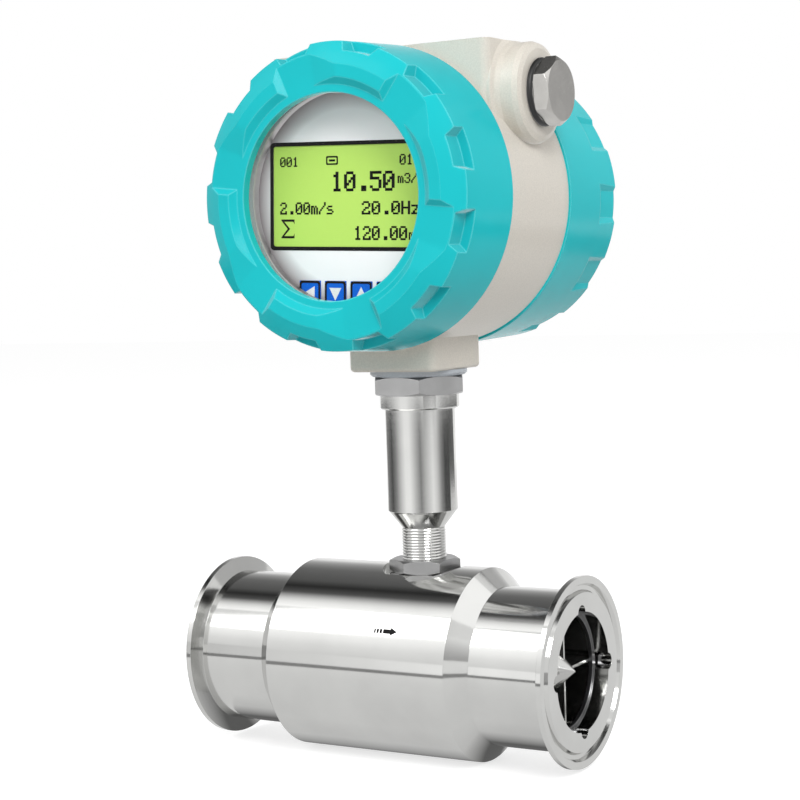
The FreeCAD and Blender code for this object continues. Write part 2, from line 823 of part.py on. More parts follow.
def battery_holder():
    """Open tray round the cell, fixed to the partition."""
    room = battery_length + 2 * slip_gap
    width = 2 * (battery_radius + slip_gap)
    height = holder_floor + battery_radius
    middle = (0, -partition_near + height / 2, battery_rise)
    outer = centred_box(room + 2 * holder_wall, height, width + 2 * holder_wall, middle)
    inner = centred_box(room, height, width, (0, middle[1] + holder_floor, battery_rise))
    return at_head(outer.cut(inner))


def ground_screw():
    """Internal earth screw with its square washer, on the partition."""
    seat = -partition_near + ground_washer_thickness
    middle = (ground_screw_x, seat - ground_washer_thickness / 2, -ground_screw_drop)
    washer = centred_box(ground_washer_size, ground_washer_thickness, ground_washer_size, middle)
    top = seat + ground_screw_height
    head = rod(seat, top, ground_screw_radius, "y", x=ground_screw_x, z=-ground_screw_drop)
    return at_head(fused([washer, head]))


# ---- all nodes --------------------------------------------------------------------------
def build_nodes():
    plug, plug_seal = plug_parts()
    nodes = {
        "meter_body": meter_body(),
        "inlet_straightener": straightener(inlet_guide_end),
        "outlet_straightener": mirrored_along_pipe(straightener(pipe_length - outlet_guide_start)),
        "inlet_retaining_ring": retaining_ring(),
        "outlet_retaining_ring": mirrored_along_pipe(retaining_ring()),
        "inlet_bearing_bush": bearing_bush(inlet_guide_end),
        "outlet_bearing_bush": mirrored_along_pipe(bearing_bush(pipe_length - outlet_guide_start)),
        "rotor": rotor(),
        "rotor_shaft": rotor_shaft(),
        "pickup_stem": pickup_stem(),
        "stem_lock_nut": stem_lock_nut(),
        "head_lock_nut": head_lock_nut(),
        "neck_washer": neck_washer(),
        "coil_bobbin": coil_bobbin(),
        "coil_winding": coil_winding(),
        "pickup_magnet": pickup_magnet(),
        "pickup_lead": pickup_lead(),
        "lead_plug": lead_plug(),
        "housing": housing(),
        "right_plug": at_head(plug),
        "right_plug_seal": at_head(plug_seal),
        "left_plug": at_head(half_turned(plug)),
        "left_plug_seal": at_head(half_turned(plug_seal)),
        "front_cover": front_cover(),
        "front_cover_seal": facing_front(cover_seal()),
        "window_glass": window_glass(),
        "window_gasket": window_ring(gasket_back, glass_back, glass_radius),
        "window_retainer": window_ring(retainer_back, gasket_back, glass_radius),
        "rear_cover": rear_cover(),
        "rear_cover_seal": facing_rear(cover_seal()),
        "dial_plate": dial_plate(),
        "lcd_module": lcd_module(),
        "display_board": display_board(),
        "dial_spacers": four_posts(display_board_front, dial_back, spacer_x, spacer_z),
        "display_standoffs": four_posts(main_board_front, display_board_back, standoff_x, standoff_z),
        "main_board": main_board(),
        "board_standoffs": four_posts(partition_far, main_board_back, standoff_x, standoff_z),
        "terminal_block": terminal_block(),
        "terminal_screws": terminal_screws(),
        "battery_holder": battery_holder(),
        "battery": battery(),
        "ground_screw": ground_screw(),
    }
    for number, x in enumerate(key_positions(), start=1):
        nodes["key_%d" % number] = key_cap(x)
    return nodes


os.makedirs("parts", exist_ok=True)
for name, shape in build_nodes().items():
    shape.exportStep("parts/%s.step" % name)
    print("%-24s solids %d  volume %.1f" % (name, len(shape.Solids), shape.Volume))
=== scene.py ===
"""Looks of the turbine flow meter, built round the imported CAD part. Metres, in the part's frame."""

import json
import math

import bmesh
import bpy
from mathutils import Matrix, Vector

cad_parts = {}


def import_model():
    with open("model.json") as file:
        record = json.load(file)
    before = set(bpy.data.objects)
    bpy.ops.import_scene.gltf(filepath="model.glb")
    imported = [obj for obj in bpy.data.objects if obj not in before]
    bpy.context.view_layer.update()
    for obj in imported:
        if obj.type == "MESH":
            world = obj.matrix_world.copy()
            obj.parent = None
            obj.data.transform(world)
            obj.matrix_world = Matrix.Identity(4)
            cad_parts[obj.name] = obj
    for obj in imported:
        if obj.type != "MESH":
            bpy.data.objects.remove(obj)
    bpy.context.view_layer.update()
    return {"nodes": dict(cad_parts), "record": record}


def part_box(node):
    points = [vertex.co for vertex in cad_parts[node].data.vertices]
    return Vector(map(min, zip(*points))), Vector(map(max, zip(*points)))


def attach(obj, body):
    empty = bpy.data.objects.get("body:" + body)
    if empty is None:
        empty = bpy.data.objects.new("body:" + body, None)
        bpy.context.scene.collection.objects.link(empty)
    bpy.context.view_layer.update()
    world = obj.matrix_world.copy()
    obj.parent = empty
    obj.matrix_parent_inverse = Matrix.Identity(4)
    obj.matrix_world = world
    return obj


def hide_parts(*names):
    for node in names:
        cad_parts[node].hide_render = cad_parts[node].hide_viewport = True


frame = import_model()
nodes = frame["nodes"]

MM = 0.001
DISPLAY_TURN = math.radians(2.4)
INK_DEPTH = 0.03 * MM
CARD_GLOW = 1.6
CAMERA_AZIMUTH = math.radians(30.91)


# ---- places read from the CAD ----------------------------------------------------------
def middle(node):
    """Centre of a node's box."""
    low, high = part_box(node)
    return (low + high) / 2


body_low, body_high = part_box("meter_body")
body_radius = body_high.y
stem_x = middle("pickup_stem").x
head_z = middle("window_glass").z
nut_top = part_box("stem_lock_nut")[1].z
dial_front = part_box("dial_plate")[0].y
lcd_low, lcd_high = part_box("lcd_module")
neck_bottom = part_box("housing")[0].z - 1 * MM
key_nodes = ["key_1", "key_2", "key_3", "key_4"]
floor_level = body_low.z - 0.2 * MM


# ---- node helpers ----------------------------------------------------------------------
def srgb(red, green, blue):
    """Linear colour from 0-255 display values."""
    linear = []
    for value in (red, green, blue):
        share = value / 255
        linear.append(share / 12.92 if share <= 0.04045 else ((share + 0.055) / 1.055) ** 2.4)
    return (*linear, 1.0)


class Material:
    """A node material with its Principled shader and short calls for the usual links."""

    def __init__(self, name, color, roughness, metallic=0.0, **sockets):
        self.data = bpy.data.materials.new(name)
        self.data.use_nodes = True
        self.tree = self.data.node_tree
        self.shader = self.tree.nodes["Principled BSDF"]
        self.shader.inputs["Base Color"].default_value = color
        self.shader.inputs["Roughness"].default_value = roughness
        self.shader.inputs["Metallic"].default_value = metallic
        for socket, value in sockets.items():
            self.shader.inputs[socket.replace("_", " ")].default_value = value

    def add(self, kind, **settings):
        node = self.tree.nodes.new("ShaderNode" + kind)
        for key, value in settings.items():
            setattr(node, key, value)
        return node

    def link(self, source, target):
        self.tree.links.new(source, target)

    def place(self, stretch=(1, 1, 1)):
        """Object position in millimetres, stretched along each axis."""
        position = self.add("TexCoord")
        mapping = self.add("Mapping")
        mapping.inputs["Scale"].default_value = [1000 * share for share in stretch]
        self.link(position.outputs["Object"], mapping.inputs["Vector"])
        return mapping.outputs["Vector"]

    def noise(self, scale, detail=2.0, stretch=(1, 1, 1)):
        """Noise value at scale features per millimetre."""
        node = self.add("TexNoise")
        node.inputs["Scale"].default_value = scale
        node.inputs["Detail"].default_value = detail
        self.link(self.place(stretch), node.inputs["Vector"])
        return node.outputs["Fac"]

    def spread(self, value, low, high, start=0.3, end=0.7):
        """Map a value from start..end to low..high."""
        node = self.add("MapRange")
        node.inputs["From Min"].default_value = start
        node.inputs["From Max"].default_value = end
        node.inputs["To Min"].default_value = low
        node.inputs["To Max"].default_value = high
        self.link(value, node.inputs["Value"])
        return node.outputs["Result"]

    def tint(self, value, first, second):
        """Base colour that runs between two colours with a value from 0 to 1."""
        node = self.add("Mix", data_type="RGBA")
        node.inputs["A"].default_value = first
        node.inputs["B"].default_value = second
        self.link(value, node.inputs["Factor"])
        self.link(node.outputs["Result"], self.shader.inputs["Base Color"])
        return node.outputs["Result"]

    def relief(self, height=None, depth=0.02, edge=0.0):
        """Bump over edges rounded by a radius, both in millimetres; returns the rounded normal."""
        normal = None
        rounded = None
        if edge:
            bevel = self.add("Bevel", samples=6)
            bevel.inputs["Radius"].default_value = edge * MM
            rounded = bevel.outputs["Normal"]
            normal = rounded
        if height is not None:
            bump = self.add("Bump")
            bump.inputs["Distance"].default_value = depth * MM
            self.link(height, bump.inputs["Height"])
            if normal is not None:
                self.link(normal, bump.inputs["Normal"])
            normal = bump.outputs["Normal"]
        self.link(normal, self.shader.inputs["Normal"])
        return rounded


# ---- materials -------------------------------------------------------------------------
def darker(color, share):
    """A linear colour brought down to a share of its level."""
    return (color[0] * share, color[1] * share, color[2] * share, 1)


def turned_steel(name, color, roughness, along, edge=0.15, lines=0.004):
    """Steel turned on a lathe: fine rings across the axis, slight changes of tone and gloss."""
    steel = Material(name, color, roughness, 1.0, Anisotropic=0.6, Anisotropic_Rotation=0.25)
    ring_stretch = [0.02, 0.02, 0.02]
    ring_stretch["xyz".index(along)] = 6.0
    rings = steel.noise(1.0, 3.0, ring_stretch)
    cloud = steel.noise(0.05, 3.0)
    gloss = steel.spread(rings, 0.8 * roughness, 1.3 * roughness)
    steel.link(gloss, steel.shader.inputs["Roughness"])
    steel.tint(steel.spread(cloud, 0.0, 1.0), color, darker(color, 0.92))
    tangent = steel.add("Tangent", direction_type="RADIAL", axis=along.upper())
    steel.link(tangent.outputs["Tangent"], steel.shader.inputs["Tangent"])
    steel.relief(rings, lines, edge)
    return steel.data


def satin_steel(name, color, roughness, edge=0.25):
    """Milled or drawn steel with a fine, directionless grain."""
    steel = Material(name, color, roughness, 1.0)
    grain = steel.noise(3.0, 4.0)
    cloud = steel.noise(0.12, 2.0)
    gloss = steel.spread(grain, 0.9 * roughness, 1.15 * roughness)
    steel.link(gloss, steel.shader.inputs["Roughness"])
    steel.tint(steel.spread(cloud, 0.0, 1.0), color, darker(color, 0.85))
    steel.relief(grain, 0.01, edge)
    return steel.data


def cast_paint(name, color, shade, bright, roughness, edge, grain=0.02):
    """Paint on a casting: soft orange peel, a slight change of tone, and rounded edges with a painted
    highlight.

    An edge is where the rounded normal leaves the surface's own: flat is the cosine up to which a
    place counts as flat, and the second cosine marks where the painted highlight is strongest.
    """
    flat, highlight_cosine = 0.985, 0.93
    strongest = 0.7
    paint = Material(name, color, roughness, IOR=1.2)
    peel = paint.noise(0.3, 1.0)
    cloud = paint.noise(0.03, 2.0)
    body = paint.tint(paint.spread(cloud, 0.0, 1.0), color, shade)
    facing = paint.add("VectorMath", operation="DOT_PRODUCT")
    geometry = paint.add("NewGeometry")
    paint.link(paint.relief(peel, grain, edge), facing.inputs[0])
    paint.link(geometry.outputs["Normal"], facing.inputs[1])
    edges = paint.spread(facing.outputs["Value"], strongest, 0.0, highlight_cosine, flat)
    # painted highlight: the paint runs towards the bright colour along every edge, as where light
    # catches it
    painted_highlight = paint.add("Mix", data_type="RGBA")
    paint.link(edges, painted_highlight.inputs["Factor"])
    paint.link(body, painted_highlight.inputs["A"])
    painted_highlight.inputs["B"].default_value = bright
    paint.link(painted_highlight.outputs["Result"], paint.shader.inputs["Base Color"])
    gloss = paint.spread(peel, 0.9 * roughness, 1.1 * roughness)
    paint.link(gloss, paint.shader.inputs["Roughness"])
    return paint.data


def moulded(name, color, roughness, grain=0.01, edge=0.1, **sockets):
    """Plastic, rubber, print or plain paint with a fine grain."""
    plastic = Material(name, color, roughness, **sockets)
    speckle = plastic.noise(2.0, 3.0)
    plastic.tint(plastic.spread(speckle, 0.0, 1.0), color, darker(color, 0.88))
    plastic.relief(speckle, grain, edge)
    return plastic.data


def lit_display(name, color, glow):
    """Liquid crystal display with a weak even back light."""
    face = Material(name, color, 0.5, Specular_IOR_Level=0.2, Emission_Strength=glow)
    grain = face.noise(4.0, 2.0)
    duller = (color[0] * 0.95, color[1] * 0.97, color[2] * 0.93, 1)
    tone = face.tint(face.spread(grain, 0.0, 1.0), color, duller)
    face.link(tone, face.shader.inputs["Emission Color"])
    face.relief(grain, 0.002)
    return face.data


def circuit_board(name):
    """Green solder resist with lighter copper tracks showing through."""
    board = Material(name, srgb(22, 92, 52), 0.4)
    cells = board.add("TexBrick")
    cells.inputs["Scale"].default_value = 0.3
    cells.inputs["Mortar Size"].default_value = 0.05
    cells.inputs["Color1"].default_value = srgb(20, 84, 48)
    cells.inputs["Color2"].default_value = srgb(24, 98, 56)
    cells.inputs["Mortar"].default_value = srgb(48, 132, 78)
    turn = board.add("Mapping")
    turn.inputs["Rotation"].default_value = (math.radians(90), 0, 0)
    board.link(board.place(), turn.inputs["Vector"])
    board.link(turn.outputs["Vector"], cells.inputs["Vector"])
    board.link(cells.outputs["Color"], board.shader.inputs["Base Color"])
    return board.data


def clear_glass(name):
    """Clear window that lets light through to the dial."""
    glass = Material(name, (1, 1, 1, 1), 0.0, Transmission_Weight=1.0, IOR=1.03)
    path = glass.add("LightPath")
    clear = glass.add("BsdfTransparent")
    mix = glass.add("MixShader")
    output = glass.tree.nodes["Material Output"]
    either = glass.add("Math", operation="MAXIMUM")
    glass.link(path.outputs["Is Shadow Ray"], either.inputs[0])
    glass.link(path.outputs["Is Diffuse Ray"], either.inputs[1])
    glass.link(either.outputs["Value"], mix.inputs["Fac"])
    glass.link(glass.shader.outputs["BSDF"], mix.inputs[1])
    glass.link(clear.outputs["BSDF"], mix.inputs[2])
    glass.link(mix.outputs["Shader"], output.inputs["Surface"])
    return glass.data


def dial_film(name):
    """White dial with a painted shadow of the window's rim, turning grey towards the edge."""
    rim_shadow_start = 28.5 * MM
    rim_shadow_end = 35.5 * MM
    white = srgb(252, 252, 252)
    film = Material(name, white, 0.35)
    distance = film.add("VectorMath", operation="DISTANCE")
    position = film.add("TexCoord")
    film.link(position.outputs["Object"], distance.inputs[0])
    distance.inputs[1].default_value = (stem_x, dial_front, head_z)
    # painted shadow: grey from the first distance from the dial's centre out to the second
    share = film.spread(distance.outputs["Value"], 0.0, 1.0, rim_shadow_start, rim_shadow_end)
    film.tint(share, white, srgb(140, 132, 134))
    film.relief(film.noise(3.0, 2.0), 0.004)
    return film.data


STEEL = srgb(208, 208, 206)
materials = {
    "body_steel": turned_steel("body_steel", STEEL, 0.09, "x"),
    "inner_steel": turned_steel("inner_steel", srgb(190, 190, 188), 0.2, "x"),
    "ring_steel": satin_steel("ring_steel", srgb(120, 120, 122), 0.3, 0.1),
    "rotor_steel": satin_steel("rotor_steel", srgb(180, 180, 178), 0.22, 0.1),
    "bush_carbide": satin_steel("bush_carbide", srgb(90, 90, 94), 0.25, 0.1),
    "stem_steel": turned_steel("stem_steel", STEEL, 0.10, "z"),
    "nut_steel": satin_steel("nut_steel", srgb(178, 178, 178), 0.34),
    "washer_plastic": moulded("washer_plastic", srgb(188, 194, 200), 0.4, edge=0.3),
    "bobbin_plastic": moulded("bobbin_plastic", srgb(40, 40, 42), 0.5),
    "winding_copper": turned_steel("winding_copper", srgb(184, 104, 60), 0.3, "z", 0.0, 0.05),
    "magnet_metal": satin_steel("magnet_metal", srgb(190, 190, 192), 0.15),
    "lead_sleeve": moulded("lead_sleeve", srgb(36, 36, 38), 0.5),
    "connector_plastic": moulded("connector_plastic", srgb(30, 30, 32), 0.5),
    "housing_paint": moulded("housing_paint", srgb(221, 215, 204), 0.3, grain=0.004, edge=0.0),
    # the pale teal is the painted highlight along the cover's edges
    "cover_paint": cast_paint(
        "cover_paint", srgb(28, 196, 203), srgb(28, 190, 197), srgb(110, 228, 232), 0.2, 0.8),
    "plug_steel": satin_steel("plug_steel", srgb(196, 194, 190), 0.24),
    "seal_rubber": moulded("seal_rubber", srgb(22, 22, 22), 0.45),
    "retainer_metal": satin_steel("retainer_metal", srgb(190, 188, 188), 0.4, 0.1),
    "window_clear": clear_glass("window_clear"),
    "dial_white": dial_film("dial_white"),
    "lcd_face": lit_display("lcd_face", srgb(186, 224, 104), 0.1),
    "key_blue": moulded("key_blue", srgb(0, 104, 222), 0.4, Specular_IOR_Level=0.2),
    "board_green": circuit_board("board_green"),
    "standoff_brass": satin_steel("standoff_brass", srgb(200, 164, 96), 0.25),
    "terminal_green": moulded("terminal_green", srgb(30, 110, 70), 0.4),
    "screw_steel": satin_steel("screw_steel", srgb(190, 190, 192), 0.22),
    "battery_sleeve": moulded("battery_sleeve", srgb(60, 70, 96), 0.3),
}
gasket_silicone = moulded("gasket_silicone", srgb(186, 182, 182), 0.5)
print_black = moulded("print_black", srgb(10, 10, 11), 0.5, 0.002, 0.0, Specular_IOR_Level=0.15)
print_white = moulded("print_white", srgb(244, 244, 244), 0.45, 0.002, 0.0)
lcd_ink = moulded("lcd_ink", srgb(10, 14, 8), 0.5, 0.002, 0.0, Specular_IOR_Level=0.15)


def dress_nodes():
    """Give every CAD node its slot's material; the window gasket is a pale silicone one."""
    for part in frame["record"]["subparts"]:
        obj = nodes[part["node"]]
        obj.data.materials.clear()
        obj.data.materials.append(materials[part["material_slot"]])
    nodes["window_gasket"].data.materials[0] = gasket_silicone
    # the bright head stays out of the polished steel's reflections
    for name in nodes:
        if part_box(name)[0].z > neck_bottom:
            nodes[name].visible_glossy = False


# ---- mesh helpers ----------------------------------------------------------------------
def link_object(name, data):
    """New object in the scene for some data."""
    obj = bpy.data.objects.new(name, data)
    bpy.context.scene.collection.objects.link(obj)
    return obj


def finish_bmesh(build, name, material, body, smooth=False):
    """Turn a bmesh into a piece that rides on a body."""
    bmesh.ops.recalc_face_normals(build, faces=build.faces)
    mesh = bpy.data.meshes.new(name)
    build.to_mesh(mesh)
    build.free()
    mesh.materials.append(material)
    for polygon in mesh.polygons:
        polygon.use_smooth = smooth
    obj = link_object(name, mesh)
    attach(obj, body)
    return obj


def piece(name, vertices, faces, material, body, smooth=False):
    """Piece made from lists of vertices and faces."""
    build = bmesh.new()
    corners = [build.verts.new(vertex) for vertex in vertices]
    for face in faces:
        build.faces.new([corners[corner] for corner in face])
    return finish_bmesh(build, name, material, body, smooth)


def front_slab(name, outlines, front, depth, material, body):
    """Flat plates that face -Y: outlines are loops of (x, z), front is their outer y."""
    build = bmesh.new()
    for outline in outlines:
        front_loop = [build.verts.new((x, front, z)) for x, z in outline]
        back_loop = [build.verts.new((x, front + depth, z)) for x, z in outline]
        build.faces.new(front_loop)
        build.faces.new(list(reversed(back_loop)))
        for step in range(len(outline)):
            after = (step + 1) % len(outline)
            side = (front_loop[after], front_loop[step], back_loop[step], back_loop[after])
            build.faces.new(side)
    return finish_bmesh(build, name, material, body)


def rounded_loop(x_low, x_high, z_low, z_high, radius, steps=6):
    """Outline of a rectangle with round corners, counter-clockwise."""
    corners = [
        (x_high - radius, z_high - radius, 0), (x_low + radius, z_high - radius, 90),
        (x_low + radius, z_low + radius, 180), (x_high - radius, z_low + radius, 270),
    ]
    loop = []
    for x, z, start in corners:
        for step in range(steps + 1):
            angle = math.radians(start + 90 * step / steps)
            loop.append((x + radius * math.cos(angle), z + radius * math.sin(angle)))
    return loop


def front_frame(name, outer, inner, front, depth, material, body):
    """Flat border between two loops with the same number of points, facing -Y."""
    build = bmesh.new()
    back = front + depth
    loops = []
    for outline, y in ((outer, front), (inner, front), (inner, back), (outer, back)):
        loops.append([build.verts.new((x, y, z)) for x, z in outline])
    count = len(outer)
    for place, loop in enumerate(loops):
        following = loops[(place + 1) % len(loops)]
        for step in range(count):
            after = (step + 1) % count
            build.faces.new((loop[step], loop[after], following[after], following[step]))
    return finish_bmesh(build, name, material, body)


def lathe(name, profile, place, material, body, segments=96, smooth=True):
    """Closed (along, radius) profile turned about the local Z axis, then set by a matrix."""
    vertices = []
    for step in range(segments):
        angle = 2 * math.pi * step / segments
        for along, radius in profile:
            across = (radius * math.cos(angle), radius * math.sin(angle))
            vertices.append(place @ Vector((*across, along)))
    count = len(profile)
    faces = []
    for step in range(segments):
        here = step * count
        there = (step + 1) % segments * count
        for point in range(count):
            other = (point + 1) % count
            faces.append((here + point, there + point, there + other, here + other))
    return piece(name, vertices, faces, material, body, smooth)


# ---- front cover -----------------------------------------------------------------------
def front_cover():
    """The CAD's front cover with the crowned tops of its grips cut flat."""
    trim = 1.2 * MM
    weld = 0.002 * MM
    sharp_edge = math.radians(18)
    build = bmesh.new()
    build.from_mesh(nodes["front_cover"].data)
    bmesh.ops.remove_doubles(build, verts=build.verts, dist=weld)
    everything = build.verts[:] + build.edges[:] + build.faces[:]
    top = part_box("front_cover")[0].y + trim
    cut = bmesh.ops.bisect_plane(
        build, geom=everything, plane_co=(0, top, 0), plane_no=(0, -1, 0), clear_outer=True)
    rims = [item for item in cut["geom_cut"] if isinstance(item, bmesh.types.BMEdge)]
    bmesh.ops.edgenet_fill(build, edges=rims)
    cover = finish_bmesh(
        build, "front_cover_trimmed", materials["cover_paint"], "front_cover", True)
    # the CAD mesh's own normals no longer fit the welded and cut mesh
    cover.data.attributes.remove(cover.data.attributes["custom_normal"])
    cover.data.set_sharp_from_angle(angle=sharp_edge)
    cover.visible_glossy = False
    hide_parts("front_cover")


# ---- stem thread -----------------------------------------------------------------------
def stem_thread():
    """Helical ridge on the stem's foot, from the lock nut to the cone."""
    root = 7.33 * MM
    crest = 7.7 * MM
    pitch = 1.0 * MM
    bottom = nut_top - 0.5 * MM
    top = nut_top + 11.0 * MM
    turns = (top - bottom) / pitch
    per_turn = 48
    section = [(0.0, root), (0.375 * pitch, crest), (0.5 * pitch, crest), (0.875 * pitch, root)]
    vertices = []
    faces = []
    rings = int(turns * per_turn)
    for step in range(rings + 1):
        angle = 2 * math.pi * step / per_turn
        rise = bottom + pitch * step / per_turn - pitch / 2
        fade = min(1.0, step / per_turn, (rings - step) / per_turn)
        for along, radius in section:
            reach = root + (radius - root) * fade
            x = stem_x + reach * math.cos(angle)
            vertices.append((x, reach * math.sin(angle), rise + along))
    for step in range(rings):
        for point in range(len(section) - 1):
            first = step * len(section) + point
            above = first + len(section)
            faces.append((first, above, above + 1, first + 1))
    piece("stem_thread", vertices, faces, materials["stem_steel"], "sensor", True)


# ---- dial and display ------------------------------------------------------------------
# glyphs of 5 by 7 cells, a group of five for each row from the top
GLYPHS = {
    "0": "01110 10001 10011 10101 11001 10001 01110",
    "1": "00100 01100 00100 00100 00100 00100 01110",
    "2": "01110 10001 00001 00110 01000 10001 11111",
    "3": "01110 10001 00001 00110 00001 10001 01110",
    "5": "11111 10000 11110 00001 00001 10001 01110",
    ".": "00000 00000 00000 00000 00000 00110 00110",
    "/": "00001 00001 00010 00100 01000 10000 10000",
    "m": "00000 00000 11010 10101 10101 10101 10101",
    "s": "00000 00000 01110 10000 01110 00001 11110",
    "h": "10000 10000 10110 11001 10001 10001 10001",
    "H": "10001 10001 10001 11111 10001 10001 10001",
    "z": "00000 00000 11111 00010 00100 01000 11111",
}


def text_cells(text, left, top, width, height):
    """Lit cells of a line of text as (x, z, width, height) boxes.

    One glyph and the gap after it take width by height.
    """
    cell_width = width / 6
    cell_height = height / 7
    cells = []
    for place, character in enumerate(text):
        for row, bits in enumerate(GLYPHS[character].split()):
            for column, bit in enumerate(bits):
                if bit == "1":
                    x = left + place * width + column * cell_width
                    z = top - (row + 1) * cell_height
                    cells.append((x, z, cell_width, cell_height))
    return cells


def turned_display(obj):
    """Turn a display piece about the window's axis, as the display sits in the head."""
    centre = Matrix.Translation((stem_x, 0, head_z))
    obj.data.transform(centre @ Matrix.Rotation(DISPLAY_TURN, 4, "Y") @ centre.inverted())


def display_parts():
    """Turned copies of the dial, the display and the keys, each in place of its CAD node."""
    bodies = {"dial_plate": "head", "lcd_module": "head"}
    bodies.update({name: name for name in key_nodes})
    for part in frame["record"]["subparts"]:
        name = part["node"]
        if name not in bodies:
            continue
        obj = link_object(name + "_turned", nodes[name].data.copy())
        turned_display(obj)
        obj.visible_glossy = False
        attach(obj, bodies[name])
        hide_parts(name)


def sum_sign(left, top, width, height, stroke):
    """Outline of a capital sigma as (x, z) points."""
    right = left + width
    bottom = top - height
    middle_z = top - height / 2
    serif = 1.1 * stroke
    waist = left + 0.52 * width
    upper_half = [
        (left, top), (right, top), (right, top - stroke - serif),
        (right - 0.6 * stroke, top - stroke), (left + 1.5 * stroke, top - stroke),
    ]
    lower_half = [
        (left + 1.5 * stroke, bottom + stroke), (right - 0.6 * stroke, bottom + stroke),
        (right, bottom + stroke + serif), (right, bottom), (left, bottom),
    ]
    return [
        *upper_half, (waist + stroke, middle_z), *lower_half,
        (left, bottom + 0.5 * stroke), (waist - 0.3 * stroke, middle_z), (left, top - 0.5 * stroke),
    ]


def ink_slab(name, outlines, front, material, body, slot, depth=INK_DEPTH):
    """Printed plates of the display, turned with it."""
    turned_display(front_slab(name, outlines, front, depth, material, body))


def ink_frame(name, outer, inner, front, material, body, slot, depth=INK_DEPTH):
    """Printed border of the display, turned with it."""
    turned_display(front_frame(name, outer, inner, front, depth, material, body))


def inset(loop_box, by, radius):
    """Rounded loop that lies inside an (x_low, x_high, z_low, z_high) box by a distance."""
    x_low, x_high, z_low, z_high = loop_box
    return rounded_loop(x_low + by, x_high - by, z_low + by, z_high - by, radius)


def lcd_content():
    """Plain measured values in the display's four rows, a sum sign and a battery sign."""
    left = lcd_low.x
    top = lcd_high.z
    front = lcd_low.y - 0.04 * MM
    ink = {"material": lcd_ink, "body": "head", "slot": "lcd_face"}
    # text, then its left, top, glyph width and glyph height from the display's corner
    rows = [
        ("001", 2.6, 3.6, 2.5, 3.2), ("01", 48.5, 3.4, 2.6, 3.4),
        ("10.50", 22.8, 8.6, 4.9, 6.4), ("m3/h", 47.8, 9.4, 2.5, 3.2),
        ("2.00m/s", 2.6, 18.4, 3.05, 4.0), ("20.0Hz", 34.4, 18.2, 3.7, 4.3),
        ("120.00", 31.4, 26.2, 3.4, 4.5), ("m3", 52.0, 27.2, 2.5, 3.4),
    ]
    cells = []
    for text, x, z, width, height in rows:
        cells += text_cells(text, left + x * MM, top - z * MM, width * MM, height * MM)
    outlines = []
    for x, z, width, height in cells:
        grow = 0.2 * width
        low, high = x - grow, x + width + grow
        outlines.append([(low, z), (high, z), (high, z + height), (low, z + height)])
    ink_slab("lcd_characters", outlines, front, **ink)
    sigma = sum_sign(left + 3.0 * MM, top - 24.0 * MM, 5.2 * MM, 6.2 * MM, 0.75 * MM)
    ink_slab("lcd_sum_sign", [sigma], front, **ink)
    battery_left = left + 20.6 * MM
    battery_foot = top - 6.4 * MM
    battery = (battery_left, battery_left + 4.6 * MM, battery_foot, battery_foot + 2.9 * MM)
    outer = inset(battery, 0.0, 0.5 * MM)
    inner = inset(battery, 0.55 * MM, 0.3 * MM)
    ink_frame("lcd_battery_sign", outer, inner, front, **ink)
    ink_slab("lcd_battery_level", [inset(battery, 1.1 * MM, 0.1 * MM)], front, **ink)


def lcd_border():
    """Black printed border round the display opening."""
    opening = (lcd_low.x, lcd_high.x, lcd_low.z, lcd_high.z)
    outer = inset(opening, -1.2 * MM, 1.6 * MM)
    inner = inset(opening, 0.1 * MM, 0.9 * MM)
    ink_frame(
        "lcd_border", outer, inner, dial_front - 0.05 * MM, print_black, "head", "dial_white",
        depth=0.1 * MM)


def key_signs():
    """Black border and white arrow on each key."""
    cap = 8.1 * MM / 2
    rim = 0.75 * MM
    half = 2.3 * MM
    thickness = 0.1 * MM
    corners = [(1.0, 0.0), (-0.8, 1.0), (-0.8, -1.0)]
    for name, direction in zip(key_nodes, (180, 270, 90, 0)):
        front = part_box(name)[0].y
        centre = middle(name)
        square = (centre.x - cap, centre.x + cap, centre.z - cap, centre.z + cap)
        outer = inset(square, 0.0, 1.0 * MM)
        inner = inset(square, rim, 0.7 * MM)
        ink_frame(
            name + "_border", outer, inner, front - 0.05 * MM, print_black, name, "key_blue",
            depth=thickness)
        turn = math.radians(direction)
        arrow = []
        for along, side in corners:
            x = along * math.cos(turn) - side * math.sin(turn)
            z = along * math.sin(turn) + side * math.cos(turn)
            arrow.append((centre.x + half * x, centre.z + half * z))
        ink_slab(
            name + "_arrow", [arrow], front - 0.04 * MM, print_white, name, "key_blue",
            depth=thickness)


# ---- flow arrow on the body ------------------------------------------------------------
def flow_arrow():
    """Printed arrow along the body: four bars that widen into a shaft with a head."""
    centre = math.radians(27)
    start = 77.2 * MM
    radius = body_radius + 0.03 * MM
    bars = [(0.0, 0.6), (1.0, 1.8), (2.2, 3.1), (3.5, 6.3)]
    shaft_half, head_half = 0.75, 1.4
    head_start, tip = 6.3, 8.9
    build = bmesh.new()

    def patch(points):
        corners = []
        for along, side in points:
            angle = centre + side * MM / radius
            place = (start + along * MM, -radius * math.cos(angle), radius * math.sin(angle))
            corners.append(build.verts.new(place))
        build.faces.new(corners)

    for low, high in bars:
        patch([(low, -shaft_half), (high, -shaft_half), (high, 0.0), (low, 0.0)])
        patch([(low, 0.0), (high, 0.0), (high, shaft_half), (low, shaft_half)])
    patch([(head_start, -head_half), (tip, 0.0), (head_start, 0.0)])
    patch([(head_start, 0.0), (tip, 0.0), (head_start, head_half)])
    finish_bmesh(build, "flow_arrow", print_black, "sensor")


